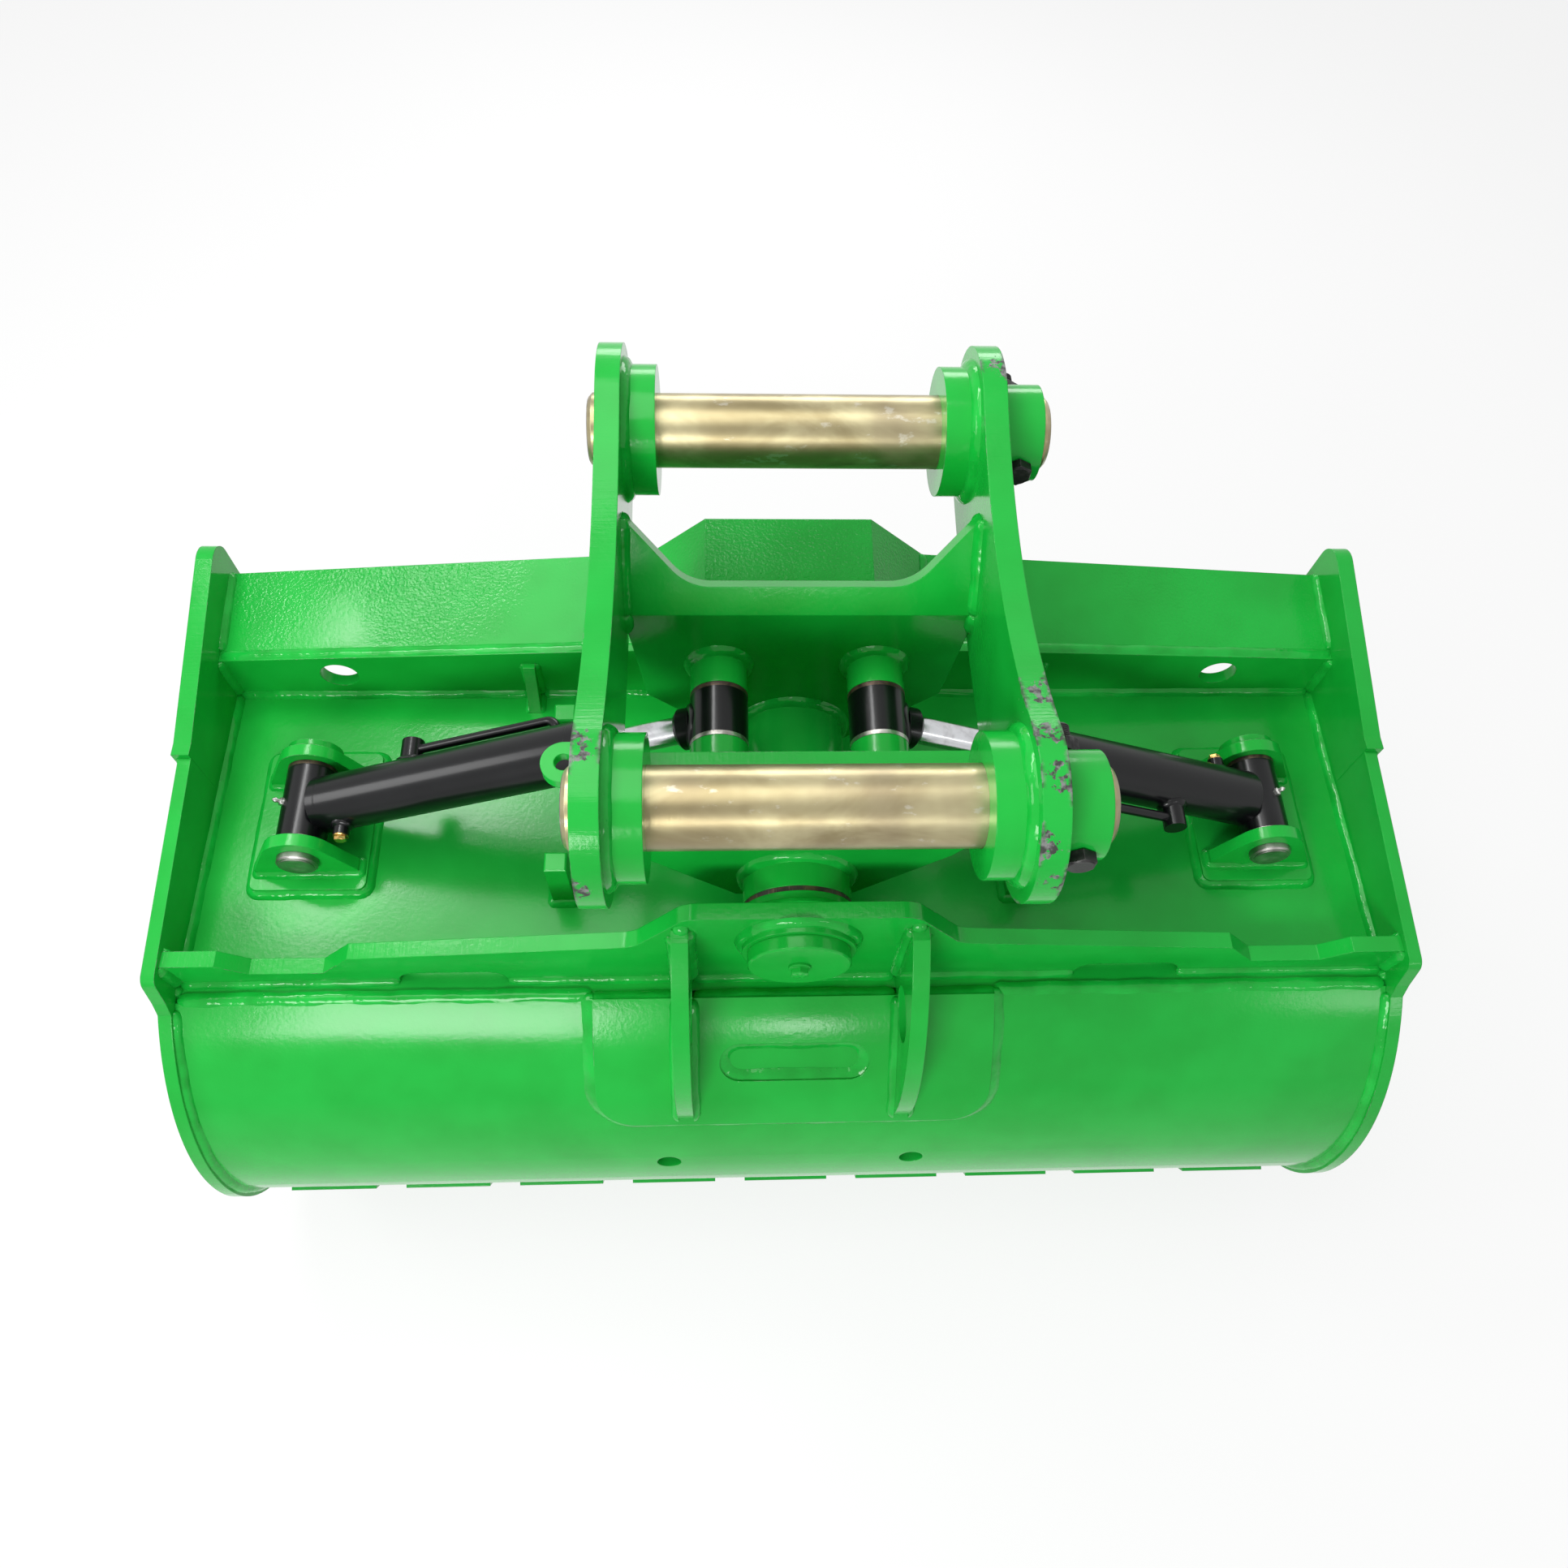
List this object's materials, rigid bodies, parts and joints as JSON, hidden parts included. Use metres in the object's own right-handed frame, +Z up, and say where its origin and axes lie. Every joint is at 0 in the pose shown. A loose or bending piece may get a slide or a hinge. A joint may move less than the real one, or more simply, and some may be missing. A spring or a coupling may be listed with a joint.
{
  "type": "excavator tilt bucket",
  "caption": "Wide ditching bucket that tilts sideways under a two-pin headstock, driven by hydraulic cylinders on its deck.",
  "frame": {"origin": "on the ground under the middle of the whole bucket", "axes": "+X across the bucket, +Y from the heel to the mouth along the tilt shaft, +Z up"},
  "size_m": [1.544, 0.849, 1.107],
  "materials": {
    "green_paint": "semi-gloss",
    "bronze": "satin",
    "plated_steel": "satin",
    "chrome_rod": "polished",
    "black_paint": "gloss",
    "black_bolt": "satin",
    "bare_steel": "satin"
  },
  "bodies": {
    "bucket": {"shell": "green_paint", "deck": "green_paint", "left_side_plate": "green_paint", "right_side_plate": "green_paint", "left_side_cutter": "green_paint", "right_side_cutter": "green_paint", "cutting_edge": "green_paint", "wear_strips": "green_paint", "rear_bulkhead": "green_paint", "front_bulkhead": "green_paint", "lip_cover": "green_paint", "bulkhead_gussets": "green_paint", "back_doubler": "green_paint", "lifting_lugs": "green_paint", "rear_shaft_boss": "green_paint", "front_shaft_boss": "green_paint", "thrust_rings": "bronze", "tilt_shaft": "bare_steel", "shaft_cap": "green_paint", "cap_bolt": "green_paint", "lug_pads": "green_paint", "cylinder_lugs": "green_paint", "left_base_pin": "bare_steel", "right_base_pin": "bare_steel", "stop_posts": "green_paint"},
    "headstock": {"left_ear": "green_paint", "right_ear": "green_paint", "ear_bosses": "green_paint", "pin_collars": "green_paint", "lower_hitch_pin": "plated_steel", "upper_hitch_pin": "plated_steel", "pin_bolts": "black_bolt", "pin_nuts": "black_bolt", "front_cross_plate": "green_paint", "rear_cross_plate": "green_paint", "hub_tube": "green_paint", "hub_bushes": "bronze", "rod_bosses": "green_paint", "left_rod_pin": "bare_steel", "right_rod_pin": "bare_steel", "hose_eye": "green_paint"},
    "left_cylinder": {"left_barrel": "black_paint", "left_base_eye": "black_paint", "left_base_bushes": "bronze", "left_gland": "black_paint", "left_ports": "black_paint"},
    "left_piston_rod": {"left_piston": "bare_steel", "left_rod": "chrome_rod", "left_rod_eye": "black_paint", "left_rod_rings": "bronze"},
    "right_cylinder": {"right_barrel": "black_paint", "right_base_eye": "black_paint", "right_base_bushes": "bronze", "right_gland": "black_paint", "right_ports": "black_paint"},
    "right_piston_rod": {"right_piston": "bare_steel", "right_rod": "chrome_rod", "right_rod_eye": "black_paint", "right_rod_rings": "bronze"}
  },
  "joints": [
    {"name": "tilt", "type": "hinge", "parent": "bucket", "child": "headstock", "pos_m": [0, -0.2255, 0.696], "axis": [0, 1, 0], "range_deg": [-20, 20]},
    {"name": "left_cylinder_swing", "type": "hinge", "parent": "bucket", "child": "left_cylinder", "pos_m": [-0.612, -0.0155, 0.628], "axis": [0, 1, 0], "range_deg": [-1.2, 1.2]},
    {"name": "left_rod_stroke", "type": "slide", "parent": "left_cylinder", "child": "left_piston_rod", "axis": [0.9277, 0, 0.3732], "range_m": [-0.057, 0.057]},
    {"name": "right_cylinder_swing", "type": "hinge", "parent": "bucket", "child": "right_cylinder", "pos_m": [0.612, -0.0155, 0.628], "axis": [0, 1, 0], "range_deg": [-1.2, 1.2]},
    {"name": "right_rod_stroke", "type": "slide", "parent": "right_cylinder", "child": "right_piston_rod", "axis": [-0.9277, 0, 0.3732], "range_m": [-0.057, 0.057]}
  ],
  "couplings": [
    {"joint": "left_cylinder_swing", "follows": "tilt", "ratio": -0.0525},
    {"joint": "left_rod_stroke", "follows": "tilt", "m_per_rad": 0.16},
    {"joint": "right_cylinder_swing", "follows": "tilt", "ratio": -0.0525},
    {"joint": "right_rod_stroke", "follows": "tilt", "m_per_rad": -0.16}
  ]
}
